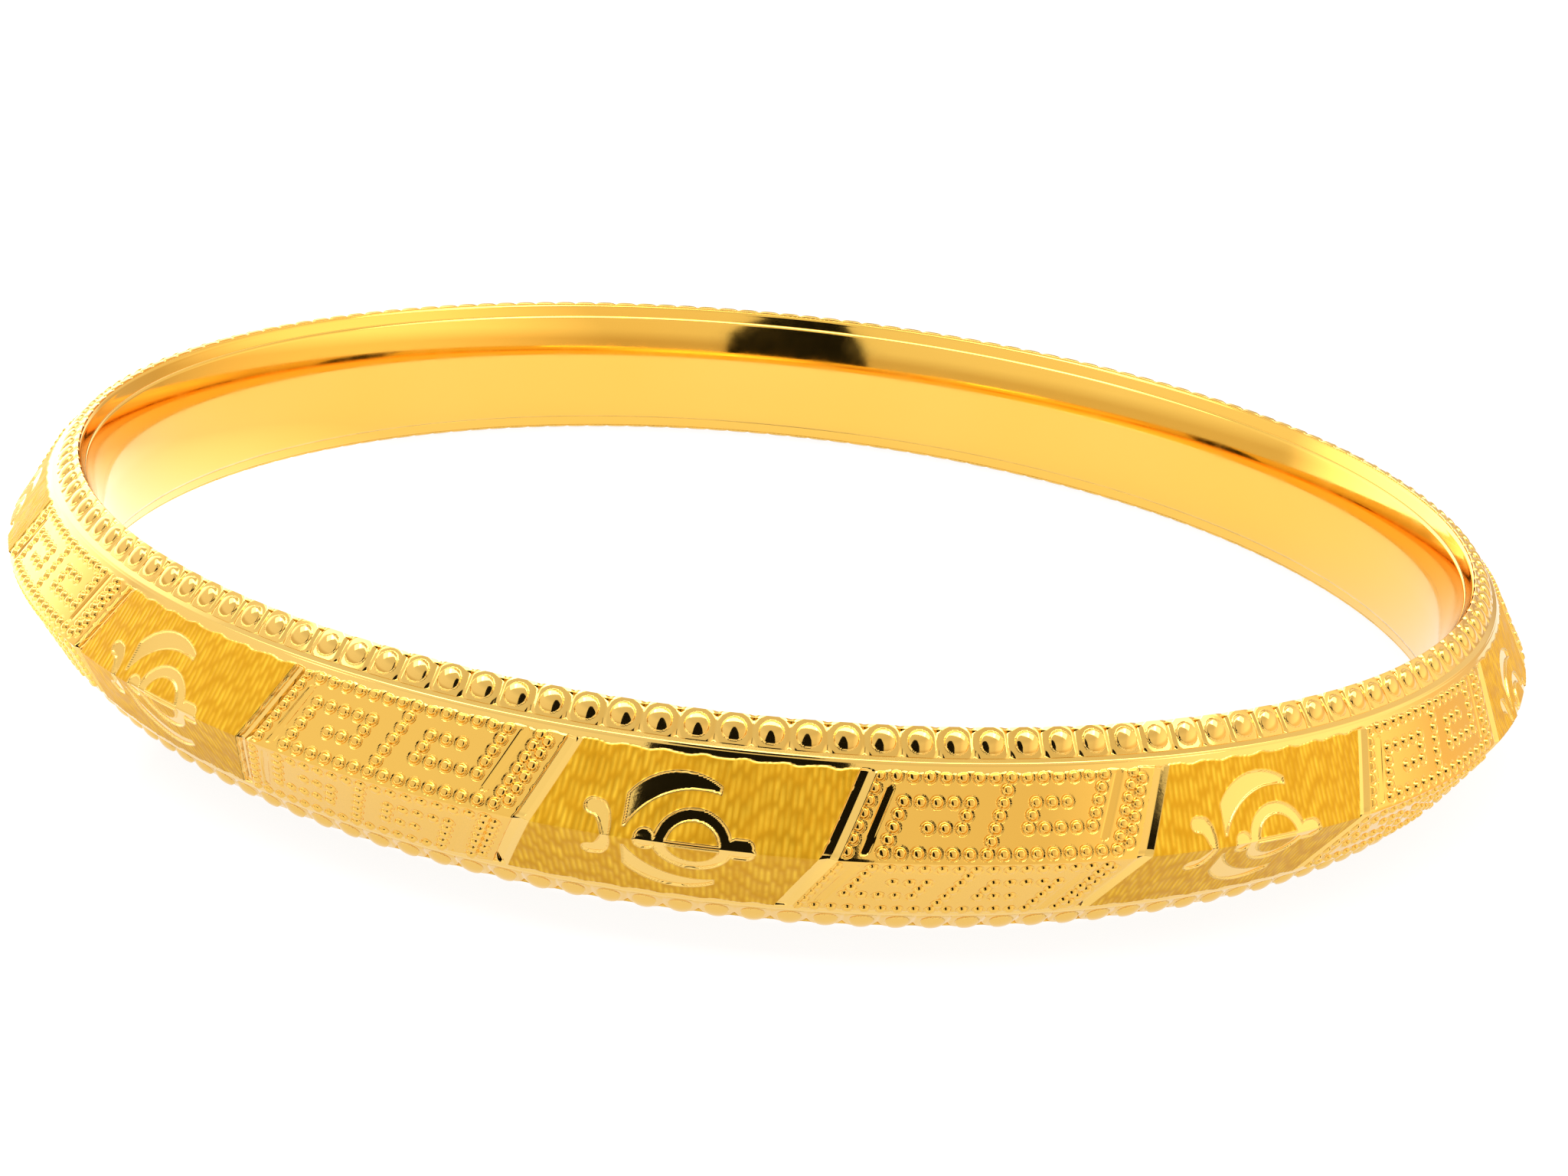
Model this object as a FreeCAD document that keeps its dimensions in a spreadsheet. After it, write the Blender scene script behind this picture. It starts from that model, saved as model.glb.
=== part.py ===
import FreeCAD, Part
import math
import os

import Sketcher

# A rigid hollow bangle with a knife-edge outline, lying flat on its lower rim.
# Origin: centre of the ring at the height of the surface it rests on. +Z is the ring's axis.
# Angles run from the front (-Y) towards +X, "height" is measured up or down from the ridge's
# plane at mid-height, and "slope" is a distance up a flank, measured along it from the ridge.
# The section is symmetric about the ridge's plane, so every upper piece has a lower twin.

VECTOR = FreeCAD.Vector
AXIS = VECTOR(0, 0, 1)
SHEET = "Sizes"
UPPER, LOWER = 1, -1
SIDE_NAMES = {UPPER: "upper", LOWER: "lower"}
SAME_PLACE = 1e-6        # two points closer than this are one point

# alias, value, what it is (millimetres and degrees)
DRIVING_SIZES = (
    ("bore_radius", 30.15, "wrist opening, at the innermost land"),
    ("bore_land_half", 0.45, "half the length of the straight land"),
    ("comfort_radius", 9.0, "radius of the convex inner face, above and below the land"),
    ("lining_outer_radius", 30.75, "outside of the lining"),
    ("lining_half_width", 3.0, "half the width of the lining"),
    ("half_width", 3.8, "half the width of the whole band"),
    ("ridge_radius", 33.8, "outermost edge"),
    ("edge_radius", 32.1, "outer edge of a flank"),
    ("edge_height", 2.78, "height of that edge"),
    ("seat_radius", 31.8, "foot of the bead band"),
    ("seat_height", 2.92, "height of that foot"),
    ("crest_radius", 31.15, "top of the bead band"),
    ("land_width", 0.23, "flat of the rim that rests on a table"),
    ("shoulder_radius", 30.64, "where the rim's rounding meets the inner face"),
    ("shoulder_height", 3.45, "height of that line"),
    ("rim_round_radius", 0.4, "rounding from the inner face to the rim's flat"),
    ("flank_wall", 0.5, "thickness of a flank"),
    ("flank_bevel", 0.2, "height of the bevel inside a flank's top end"),
    ("foot_height", 2.45, "lower end of the rim's foot"),
    ("foot_radius", 31.56, "outside of the rim's foot"),
    ("band_wall", 0.3, "from the bead row's envelope to the back of the bead band"),
    ("solder_height", 0.35, "half the height of the solder fillet"),
    ("bead_count", 160, "beads in one row"),
    ("bead_dome_radius", 0.42, "radius of one bead"),
    ("bead_rise", 0.2, "how far a bead stands out of its band"),
    ("bead_recess", 0.12, "how far the band lies below the bead row's envelope"),
    ("pair_count", 10, "pairs of panels round the ring"),
    ("emblem_start", -12.2, "angle of one emblem panel's first border, on the ridge"),
    ("emblem_span", 17.01, "angle of an emblem panel"),
    ("border_slant", 2.23, "angle that a border gains from the ridge to the edge"),
    ("border_width", 0.6, "width of a border groove"),
    ("border_depth", 0.16, "depth of a border groove"),
    ("engraving_depth", 0.12, "depth of the emblem's cuts"),
    ("grain_dome_radius", 0.19, "radius of one grain"),
    ("grain_rise", 0.11, "how far a grain stands out of the flank"),
    ("key_column_step", 1.0, "angle from one column of grains to the next"),
    ("key_row_first", 0.34, "slope distance from the ridge to the first row"),
    ("key_row_step", 0.4235, "slope distance from row to row"),
)


def make_sheet(doc):
    sheet = doc.addObject("Spreadsheet::Sheet", SHEET)
    for row, (alias, value, note) in enumerate(DRIVING_SIZES, start=1):
        sheet.set(f"A{row}", alias)
        sheet.set(f"B{row}", str(value))
        sheet.setAlias(f"B{row}", alias)
        sheet.set(f"C{row}", note)
    doc.recompute()
    return sheet


def cell(alias):
    return f"{SHEET}.{alias}"


# ---- ring pieces: one closed outline, turned about the axis --------------------------------

class Corner:
    """One corner of a section: radius and height as expressions, and how the next side runs."""

    def __init__(self, radius, height, arc=None):
        self.radius = radius
        self.height = height
        self.arc = arc


def arc_middle(start, end, radius, side):
    """Middle of the shorter arc of this radius, on the left of the way from start to end or,
    in a section that is mirrored to the lower side, on its right."""
    chord = end - start
    middle = (start + end) * 0.5
    left = VECTOR(-chord.y, chord.x, 0).normalize()
    rise = radius - math.sqrt(radius ** 2 - (chord.Length / 2) ** 2)
    return middle + left * (side * rise)


def draw_outline(sketch, corners, side):
    """Draws the closed outline and ties every corner and arc to the sheet."""
    def value(expression):
        return float(sketch.evalExpression(expression))

    heights = [f"{side} * ({corner.height})" for corner in corners]
    points = [VECTOR(value(c.radius), value(h), 0) for c, h in zip(corners, heights)]
    ends = []
    for index, corner in enumerate(corners):
        start = points[index]
        end = points[(index + 1) % len(points)]
        if corner.arc is None:
            geometry = sketch.addGeometry(Part.LineSegment(start, end), False)
        else:
            middle = arc_middle(start, end, value(corner.arc), side)
            geometry = sketch.addGeometry(Part.Arc(start, middle, end), False)
        first_is_start = sketch.getPoint(geometry, 1).distanceToPoint(start) < SAME_PLACE
        ends.append((geometry, 1, 2) if first_is_start else (geometry, 2, 1))

    for index, corner in enumerate(corners):
        geometry, start_point, end_point = ends[index]
        following, following_start, _ = ends[(index + 1) % len(ends)]
        sketch.addConstraint(
            Sketcher.Constraint("Coincident", geometry, end_point, following, following_start))
        radius_tie = sketch.addConstraint(Sketcher.Constraint(
            "DistanceX", -1, 1, geometry, start_point, points[index].x))
        sketch.renameConstraint(radius_tie, f"radius_{index}")
        sketch.setExpression(f"Constraints.radius_{index}", corner.radius)
        if abs(points[index].y) < SAME_PLACE:
            sketch.addConstraint(
                Sketcher.Constraint("PointOnObject", geometry, start_point, -1))
        else:
            height_tie = sketch.addConstraint(Sketcher.Constraint(
                "DistanceY", -1, 1, geometry, start_point, points[index].y))
            sketch.renameConstraint(height_tie, f"height_{index}")
            sketch.setExpression(f"Constraints.height_{index}", heights[index])
        if corner.arc is not None:
            arc_tie = sketch.addConstraint(
                Sketcher.Constraint("Radius", geometry, value(corner.arc)))
            sketch.renameConstraint(arc_tie, f"arc_{index}")
            sketch.setExpression(f"Constraints.arc_{index}", corner.arc)


def origin_plane(body, role):
    return next(f for f in body.Origin.OriginFeatures if f.Role == role)


def ring_body(doc, label, corners, side=UPPER):
    body = doc.addObject("PartDesign::Body", label)
    body.Label = label
    sketch = body.newObject("Sketcher::SketchObject", f"{label}_section")
    sketch.AttachmentSupport = [(origin_plane(body, "XZ_Plane"), "")]
    sketch.MapMode = "FlatFace"
    doc.recompute()
    draw_outline(sketch, corners, side)
    doc.recompute()
    turned = body.newObject("PartDesign::Revolution", f"{label}_turned")
    turned.Profile = sketch
    turned.ReferenceAxis = (sketch, ["V_Axis"])
    turned.Angle = 360
    doc.recompute()
    return body


def rest_on_rim(piece):
    """Lifts a piece from the ridge's plane to where it sits when the lower rim is on z = 0."""
    piece.setExpression("Placement.Base.z", cell("half_width"))


def inner_face_radius(height):
    """Radius of the convex inner face at a height beyond the straight land, as an expression."""
    rise = f"(({height}) - {cell('bore_land_half')})"
    arc = cell("comfort_radius")
    return f"{cell('bore_radius')} + {arc} - sqrt({arc} ^ 2 - {rise} ^ 2)"


def flank_inner_radius(height):
    """Radius of a flank's inner side at a height, as an expression."""
    fall = f"({cell('ridge_radius')} - {cell('edge_radius')})"
    slope = f"sqrt({fall} ^ 2 + {cell('edge_height')} ^ 2)"
    apex = f"{cell('ridge_radius')} - {cell('flank_wall')} * {slope} / {cell('edge_height')}"
    return f"{apex} - {fall} * ({height}) / {cell('edge_height')}"


def behind_band(alias, along, depth_alias="band_wall"):
    """A corner of the bead row's envelope moved in, square to it, as an expression."""
    fall = f"({cell('seat_radius')} - {cell('crest_radius')})"
    rise = f"({cell('half_width')} - {cell('seat_height')})"
    slope = f"sqrt({fall} ^ 2 + {rise} ^ 2)"
    share = rise if along == "radius" else fall
    return f"{cell(alias)} - {cell(depth_alias)} * {share} / {slope}"


def make_inner_band(doc):
    half = cell("lining_half_width")
    land = cell("bore_land_half")
    edge = inner_face_radius(half)
    arc = cell("comfort_radius")
    corners = (
        Corner(cell("bore_radius"), f"0 - {land}"),
        Corner(cell("bore_radius"), land, arc),
        Corner(edge, half),
        Corner(cell("lining_outer_radius"), half),
        Corner(cell("lining_outer_radius"), f"0 - {half}"),
        Corner(edge, f"0 - {half}", arc),
    )
    return ring_body(doc, "inner_band", corners)


def make_flank_blank(doc, side):
    """The plain conical shell, from the ridge to the step at the bead band's foot."""
    bevel_start = f"{cell('foot_height')} - {cell('flank_bevel')}"
    corners = (
        Corner(cell("ridge_radius"), "0"),
        Corner(cell("edge_radius"), cell("edge_height")),
        Corner(cell("seat_radius"), cell("seat_height")),
        Corner(cell("foot_radius"), behind_band("seat_height", "height")),
        Corner(cell("foot_radius"), cell("foot_height")),
        Corner(flank_inner_radius(bevel_start), bevel_start),
        Corner(flank_inner_radius("0"), "0"),
    )
    return ring_body(doc, f"{SIDE_NAMES[side]}_flank_blank", corners, side)


def make_rim(doc, side):
    """Edge ring: table land, bead band's backing, and a foot between the flank and the lining."""
    half = cell("lining_half_width")
    land_inner = f"{cell('crest_radius')} - {cell('land_width')}"
    corners = (
        Corner(inner_face_radius(half), half),
        Corner(cell("shoulder_radius"), cell("shoulder_height"), cell("rim_round_radius")),
        Corner(land_inner, cell("half_width")),
        Corner(cell("crest_radius"), cell("half_width")),
        Corner(behind_band("crest_radius", "radius"), behind_band("half_width", "height")),
        Corner(cell("foot_radius"), behind_band("seat_height", "height")),
        Corner(cell("foot_radius"), cell("foot_height")),
        Corner(cell("lining_outer_radius"), cell("foot_height")),
        Corner(cell("lining_outer_radius"), half),
    )
    return ring_body(doc, f"{SIDE_NAMES[side]}_rim", corners, side)


def make_bead_band(doc, side):
    """Strip under the beads, recessed below the line from the flank's foot to the crest."""
    corners = (
        Corner(behind_band("seat_radius", "radius", "bead_recess"),
               behind_band("seat_height", "height", "bead_recess")),
        Corner(behind_band("crest_radius", "radius", "bead_recess"),
               behind_band("half_width", "height", "bead_recess")),
        Corner(behind_band("crest_radius", "radius"), behind_band("half_width", "height")),
        Corner(cell("foot_radius"), behind_band("seat_height", "height")),
    )
    return ring_body(doc, f"{SIDE_NAMES[side]}_bead_band", corners, side)


def make_ridge_solder(doc):
    """Fillet of solder behind the ridge, where the two flanks meet."""
    height = cell("solder_height")
    corners = (
        Corner(flank_inner_radius("0"), "0"),
        Corner(flank_inner_radius(height), height),
        Corner(flank_inner_radius(height), f"0 - {height}"),
    )
    return ring_body(doc, "ridge_solder", corners)


# ---- ornament: what repeats round the ring ---------------------------------------------------

# One key panel seen from outside, the last row next to the ridge: # is a grain, and the blanks
# between them are the polished line of the meander.
KEY_PATTERN = (
    "###############.#",
    "#.......#.....#.#",
    "#.#####.#.###.#.#",
    "#.#...#.#.#...#.#",
    "#.#.###.#.#####.#",
    "#.#.....#.......#",
    "#.###############",
)
EXTRA_COLUMN = 17.65     # a closing column of grains, set half a row up, in column steps
PROUD = 1.0              # how far a cutting tool reaches out of the metal
OVERRUN = 0.15           # how far a border groove's tool runs past each end
EMBLEM_MIDDLE = 4.9      # middle of the emblem, along the ring from its panel's first border


class Flank:
    """One conical flank: places on it, and the direction square to it."""

    def __init__(self, sheet, side):
        self.side = side
        self.ridge_radius = float(sheet.ridge_radius)
        self.fall = float(sheet.ridge_radius) - float(sheet.edge_radius)
        self.rise = float(sheet.edge_height)
        self.length = math.hypot(self.fall, self.rise)
        self.slant = float(sheet.border_slant)

    def point(self, angle, slope):
        share = slope / self.length
        radius = self.ridge_radius - self.fall * share
        around = math.radians(angle)
        return VECTOR(radius * math.sin(around), -radius * math.cos(around),
                      self.side * self.rise * share)

    def slanted(self, angle, slope):
        """A place whose angle is given on the ridge and carried up along the borders' slant."""
        return self.point(angle + self.side * self.slant * slope / self.length, slope)

    def normal(self, angle):
        around = math.radians(angle)
        outward = self.rise / self.length
        return VECTOR(outward * math.sin(around), -outward * math.cos(around),
                      self.side * self.fall / self.length)

    def uphill(self, angle):
        around = math.radians(angle)
        inward = self.fall / self.length
        return VECTOR(-inward * math.sin(around), inward * math.cos(around),
                      self.side * self.rise / self.length)

    def skin(self, depth):
        """The outer layer of the flank, to this depth, and the air over it."""
        inner_ridge = self.ridge_radius - depth * self.length / self.rise
        outer_ridge = self.ridge_radius + PROUD
        top = self.side * self.rise
        outline = (
            VECTOR(inner_ridge, 0, 0),
            VECTOR(outer_ridge, 0, 0),
            VECTOR(outer_ridge - self.fall, 0, top),
            VECTOR(inner_ridge - self.fall, 0, top),
        )
        face = Part.Face(Part.makePolygon(outline + outline[:1]))
        return face.revolve(VECTOR(0, 0, 0), AXIS, 360)


def dome(centre, normal, radius, rise):
    """A round cap that stands this far out of the surface at centre."""
    sink = radius - rise
    base_latitude = math.degrees(math.asin(sink / radius))
    return Part.makeSphere(radius, centre - normal * sink, normal, base_latitude, 90, 360)


def border_tool(flank, angle, sheet):
    """V-shaped tool for one groove between two panels, from the ridge to the flank's edge."""
    low = flank.slanted(angle, 0)
    high = flank.slanted(angle, flank.length)
    run = (high - low).normalize()
    normal = flank.normal(angle)
    across = run.cross(normal).normalize()
    start = low - run * OVERRUN
    half = float(sheet.border_width) / 2
    depth = float(sheet.border_depth)
    flare = half * (depth + OVERRUN) / depth
    outline = (
        start - normal * depth,
        start + normal * OVERRUN + across * flare,
        start + normal * OVERRUN - across * flare,
    )
    face = Part.Face(Part.makePolygon(outline + outline[:1]))
    return face.extrude(run * ((high - low).Length + 2 * OVERRUN))


def crescent(outer, inner):
    """A closed stroke between two arcs, each given by its start, middle and end."""
    def edge(*points):
        corners = [VECTOR(x, y, 0) for x, y in points]
        return Part.Arc(*corners).toShape() if len(corners) == 3 else Part.makeLine(*corners)

    return Part.Wire([edge(*outer), edge(outer[-1], inner[0]),
                      edge(*inner), edge(inner[-1], outer[0])])


def half_ring(middle_x, outer_radius, inner_radius, base_y):
    """Half of a flat ring that stands on the ridge."""
    def arch(radius, way):
        return ((middle_x - way * radius, base_y), (middle_x, radius), (middle_x + way * radius, base_y))

    return crescent(arch(outer_radius, 1), arch(inner_radius, -1))


def emblem_outlines():
    """The emblem's strokes on one flank: x along the ring from its panel's border, y uphill."""
    blade = crescent(((3.40, 0.55), (4.25, 2.15), (6.33, 2.10)),
                     ((6.23, 1.88), (4.75, 1.75), (3.56, 0.70)))
    ring = half_ring(middle_x=5.56, outer_radius=1.25, inner_radius=0.88, base_y=0.01)
    hook = crescent(((2.05, 0.82), (2.62, 1.02), (2.93, 0.18)),
                    ((2.72, 0.18), (2.52, 0.72), (2.14, 0.68)))
    tip_foot = -0.1
    tip = ((6.85, tip_foot), (6.85, 0.38), (7.25, 0.38), (7.55, tip_foot), (6.85, tip_foot))
    return [blade, ring, hook, Part.makePolygon([VECTOR(x, y, 0) for x, y in tip])]


def emblem_tool(flank, angle, wires, skin):
    """The emblem's strokes as a shallow cut that follows the cone."""
    millimetres = math.radians(1) * (flank.ridge_radius - flank.fall / 2)
    middle = angle + EMBLEM_MIDDLE / millimetres
    along = VECTOR(math.cos(math.radians(middle)), math.sin(math.radians(middle)), 0)
    uphill = flank.uphill(middle)
    normal = flank.normal(middle)
    base = flank.point(middle, 0) - along * EMBLEM_MIDDLE
    frame = FreeCAD.Matrix(
        along.x, uphill.x, normal.x, base.x,
        along.y, uphill.y, normal.y, base.y,
        along.z, uphill.z, normal.z, base.z,
        0, 0, 0, 1)
    tools = []
    for wire in wires:
        face = Part.Face(wire)
        face.translate(VECTOR(0, 0, -PROUD))
        prism = face.extrude(VECTOR(0, 0, 2 * PROUD))
        tools.append(prism.transformGeometry(frame).common(skin))
    return tools


def panel_angles(sheet):
    """Angle on the ridge of each emblem panel's first border, round the ring."""
    pair_span = 360 / int(sheet.pair_count)
    return [float(sheet.emblem_start) + pair_span * number for number in range(int(sheet.pair_count))]


def make_flank(doc, sheet, side):
    """A flank with its border grooves and its share of every emblem cut into it."""
    flank = Flank(sheet, side)
    skin = flank.skin(float(sheet.engraving_depth))
    wires = emblem_outlines()
    tools = []
    for start in panel_angles(sheet):
        tools.append(border_tool(flank, start, sheet))
        tools.append(border_tool(flank, start + float(sheet.emblem_span), sheet))
        tools.extend(emblem_tool(flank, start, wires, skin))
    label = f"{SIDE_NAMES[side]}_flank"
    engraving = doc.addObject("Part::Feature", f"{label}_engraving")
    engraving.Shape = Part.makeCompound(tools)
    piece = doc.addObject("Part::Cut", label)
    piece.Label = label
    piece.Base = make_flank_blank(doc, side)
    piece.Tool = engraving
    return piece


def make_beads(doc, sheet, side):
    """The bead row: caps standing on the recessed face of their band."""
    fall = float(sheet.seat_radius) - float(sheet.crest_radius)
    rise = float(sheet.half_width) - float(sheet.seat_height)
    slope = math.hypot(fall, rise)
    recess = float(sheet.bead_recess)
    radius = (float(sheet.seat_radius) + float(sheet.crest_radius)) / 2 - recess * rise / slope
    height = (float(sheet.seat_height) + float(sheet.half_width)) / 2 - recess * fall / slope
    caps = []
    for number in range(int(sheet.bead_count)):
        around = math.radians(float(sheet.emblem_start) + 360 * number / int(sheet.bead_count))
        outward = VECTOR(math.sin(around), -math.cos(around), 0)
        normal = (outward * rise + AXIS * (side * fall)) * (1 / slope)
        centre = outward * radius + AXIS * (side * height)
        caps.append(dome(centre, normal, float(sheet.bead_dome_radius), float(sheet.bead_rise)))
    return group(doc, f"{SIDE_NAMES[side]}_beads", caps)


def make_key_grains(doc, sheet, side):
    """The grains of every key panel on one flank."""
    flank = Flank(sheet, side)
    step = float(sheet.key_column_step)
    first = float(sheet.key_row_first)
    row_step = float(sheet.key_row_step)
    spots = [(1 + column, row)
             for row, line in enumerate(reversed(KEY_PATTERN))
             for column, mark in enumerate(line) if mark == "#"]
    spots += [(EXTRA_COLUMN, row + 0.5) for row in range(len(KEY_PATTERN) - 1)]
    caps = []
    for start in panel_angles(sheet):
        key_start = start + float(sheet.emblem_span)
        for column, row in spots:
            angle = key_start + column * step
            slope = first + row_step * row
            centre = flank.slanted(angle, slope)
            turned = angle + side * flank.slant * slope / flank.length
            caps.append(dome(centre, flank.normal(turned),
                             float(sheet.grain_dome_radius), float(sheet.grain_rise)))
    return group(doc, f"{SIDE_NAMES[side]}_key_grains", caps)


def group(doc, label, solids):
    piece = doc.addObject("Part::Feature", label)
    piece.Label = label
    piece.Shape = Part.makeCompound(solids)
    return piece


# ---- the bangle ------------------------------------------------------------------------------

def check(doc, pieces):
    for thing in doc.Objects:
        if "Invalid" in thing.State or "Error" in thing.State:
            raise RuntimeError(f"{thing.Label} failed to recompute: {thing.State}")
    for piece in pieces:
        if piece.Shape.isNull() or not piece.Shape.isValid() or not piece.Shape.Solids:
            raise RuntimeError(f"{piece.Label} has no valid solid")


def main():
    doc = FreeCAD.newDocument("bangle")
    sheet = make_sheet(doc)
    pieces = [make_inner_band(doc), make_ridge_solder(doc)]
    for side in (UPPER, LOWER):
        pieces.append(make_flank(doc, sheet, side))
        pieces.append(make_rim(doc, side))
        pieces.append(make_bead_band(doc, side))
        pieces.append(make_beads(doc, sheet, side))
        pieces.append(make_key_grains(doc, sheet, side))
    for piece in pieces:
        rest_on_rim(piece)
    doc.recompute()
    check(doc, pieces)
    os.makedirs("parts", exist_ok=True)
    for piece in pieces:
        piece.Shape.exportStep(f"parts/{piece.Label}.step")
        box = piece.Shape.BoundBox
        print(f"{piece.Label}: {len(piece.Shape.Solids)} solid(s), {piece.Shape.Volume:.3f} mm3, "
              f"radius {box.XMax:.2f}, z {box.ZMin:.2f} to {box.ZMax:.2f}")


main()
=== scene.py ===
import math

import bpy
import numpy as np
from mathutils import Matrix, Vector


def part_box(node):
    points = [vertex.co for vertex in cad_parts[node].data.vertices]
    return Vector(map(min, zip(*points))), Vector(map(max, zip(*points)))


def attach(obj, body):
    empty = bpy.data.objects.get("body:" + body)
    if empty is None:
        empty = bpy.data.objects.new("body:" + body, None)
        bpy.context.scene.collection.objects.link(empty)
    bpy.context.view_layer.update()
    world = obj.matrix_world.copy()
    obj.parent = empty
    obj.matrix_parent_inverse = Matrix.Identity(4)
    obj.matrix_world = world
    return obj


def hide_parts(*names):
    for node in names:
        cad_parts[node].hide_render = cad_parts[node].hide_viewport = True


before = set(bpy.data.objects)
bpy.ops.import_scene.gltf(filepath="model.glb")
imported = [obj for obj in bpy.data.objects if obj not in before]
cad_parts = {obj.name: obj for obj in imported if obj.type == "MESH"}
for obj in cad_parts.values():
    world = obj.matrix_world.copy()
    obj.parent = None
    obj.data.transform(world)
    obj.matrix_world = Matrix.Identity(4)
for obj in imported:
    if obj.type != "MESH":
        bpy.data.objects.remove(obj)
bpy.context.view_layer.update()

# The pieces are made in millimetres and degrees, and mesh_from_grid() turns them into metres.
# The studio is in metres. Heights of the band are measured up or down from the ridge's plane.
MM = 0.001
UPPER, LOWER = 1, -1
SIDE_NAMES = {UPPER: "upper", LOWER: "lower"}

# ---- driving sizes ------------------------------------------------------------------------------

HALF_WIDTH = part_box("upper_rim")[1].z / 2 / MM
RIDGE_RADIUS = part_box("upper_flank")[1].x / MM
EDGE = (32.1, 2.78)              # radius and height of a flank's outer edge
SEAT = (31.8, 2.92)              # foot of the bead row
CREST = (31.15, 3.80)            # top of the bead row
SHOULDER_HEIGHT = 3.42           # end of the rim's rounding, on the inner face
BORE_RADIUS = 30.15
BORE_LAND_HALF = 0.15            # half the length of the straight land in the opening
COMFORT_RADIUS = 8.2             # radius of the convex inner face, above and below the land
LINING_OUTER_RADIUS = 30.75
LINING_HALF_WIDTH = 3.0
FOOT = (31.56, 2.45)             # outside of the rim's foot
FOOT_TOP = 2.60                  # height at which the foot meets the bead row's back
FLANK_WALL = 0.5
LIP_STEP = 0.16                  # the rim's flat top lies this much below the crest

PAIRS = 10                       # an emblem panel and a key panel make a pair
PAIR_SPAN = 360 / PAIRS
FIRST_BORDER = -12.2             # angle on the ridge of one emblem panel's first border
EMBLEM_SPAN = 17.01              # angle that the emblem panel of a pair takes up
GROOVES = (-0.02, 17.28, PAIR_SPAN - 0.02)     # angles of the border grooves of a pair
BORDER_SLANT = 2.23              # angle that a border gains from the ridge to the edge
BEADS = 160

FALL = RIDGE_RADIUS - EDGE[0]
SLOPE = math.hypot(FALL, EDGE[1])           # length of a flank, up its slope
OUTWARD, UPWARD = EDGE[1] / SLOPE, FALL / SLOPE
# millimetres to a degree, a little above the middle of a flank
DEGREE = math.radians(1) * (RIDGE_RADIUS + EDGE[0]) / 2 * 0.997


def smooth(low, high, value):
    """A soft step from 0 at low to 1 at high; low may be the larger one."""
    t = np.clip((value - low) / (high - low), 0, 1)
    return t * t * (3 - 2 * t)


def scatter(*whole):
    """A repeatable number from 0 to 1 for each combination of whole numbers."""
    mixed = sum(w * k for w, k in zip(whole, (12.9898, 78.233, 37.719)))
    return np.modf(np.abs(np.sin(mixed) * 43758.5453))[0]


# ---- flat shapes, as signed distances: negative inside ----------------------------------------

def circle_through(first, second, third):
    """Centre and radius of the circle through three points."""
    (ax, ay), (bx, by), (cx, cy) = first, second, third
    twice = 2 * (ax * (by - cy) + bx * (cy - ay) + cx * (ay - by))
    a2, b2, c2 = ax * ax + ay * ay, bx * bx + by * by, cx * cx + cy * cy
    x = (a2 * (by - cy) + b2 * (cy - ay) + c2 * (ay - by)) / twice
    y = (a2 * (cx - bx) + b2 * (ax - cx) + c2 * (bx - ax)) / twice
    return x, y, math.hypot(ax - x, ay - y)


def disc(x, y, circle):
    """How far outside the circle each place is."""
    return np.hypot(x - circle[0], y - circle[1]) - circle[2]


def curve(points, steps):
    """Places along the Bezier curve of these control points."""
    t = np.linspace(0, 1, steps)[:, None]
    layer = [np.broadcast_to(np.array(p, float), (steps, len(p))) for p in points]
    while len(layer) > 1:
        layer = [a * (1 - t) + b * t for a, b in zip(layer, layer[1:])]
    return layer[0]


def stroke(x, y, points):
    """A line of varying width through places of the form (x, y, half width)."""
    nearest = np.full(np.shape(x), 99.0)
    for (ax, ay, aw), (bx, by, bw) in zip(points, points[1:]):
        dx, dy = bx - ax, by - ay
        t = np.clip(((x - ax) * dx + (y - ay) * dy) / (dx * dx + dy * dy), 0, 1)
        distance = np.hypot(x - ax - t * dx, y - ay - t * dy) - (aw + (bw - aw) * t)
        nearest = np.minimum(nearest, distance)
    return nearest


# ---- the worked surface of a flank ------------------------------------------------------------

KEY_PATTERN = (
    "###############.#",
    "#.......#.....#.#",
    "#.#####.#.###.#.#",
    "#.#...#.#.#...#.#",
    "#.#.###.#.#####.#",
    "#.#.....#.......#",
    "#.###############",
)
ROW_FIRST, ROW_STEP = 0.34, 0.4235    # slope of the lowest row of grains, and from row to row
EXTRA_COLUMN = 17.65             # angle of the grains beside the next border
KEY_BARS = (2, 16)               # angles of the two bright-cut bars, from the key panel's start
HATCH_DEPTH = 0.024
STROKE_DEPTH = 0.060             # of the emblem's strokes
BAR_DEPTH, BAR_LEAN = 0.045, 0.09
EDGE_CUT_DEPTH = 0.045
KEY_MARGIN = 0.42                # from the key panel's start to where its relief begins
PANEL_TOP = 3.02                 # slope at which the panels end and the edge cut begins
LEDGE = math.hypot(EDGE[0] - SEAT[0], SEAT[1] - EDGE[1])    # from the flank's edge to the beads
BLADE_OUTER = circle_through((3.32, 1.50), (5.00, 2.42), (6.32, 2.02))
BLADE_INNER = circle_through((3.36, 0.50), (4.67, 1.72), (6.20, 1.86))
RING_X, RING_RADIUS, RING_HALF = 5.56, 1.065, 0.185


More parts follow.
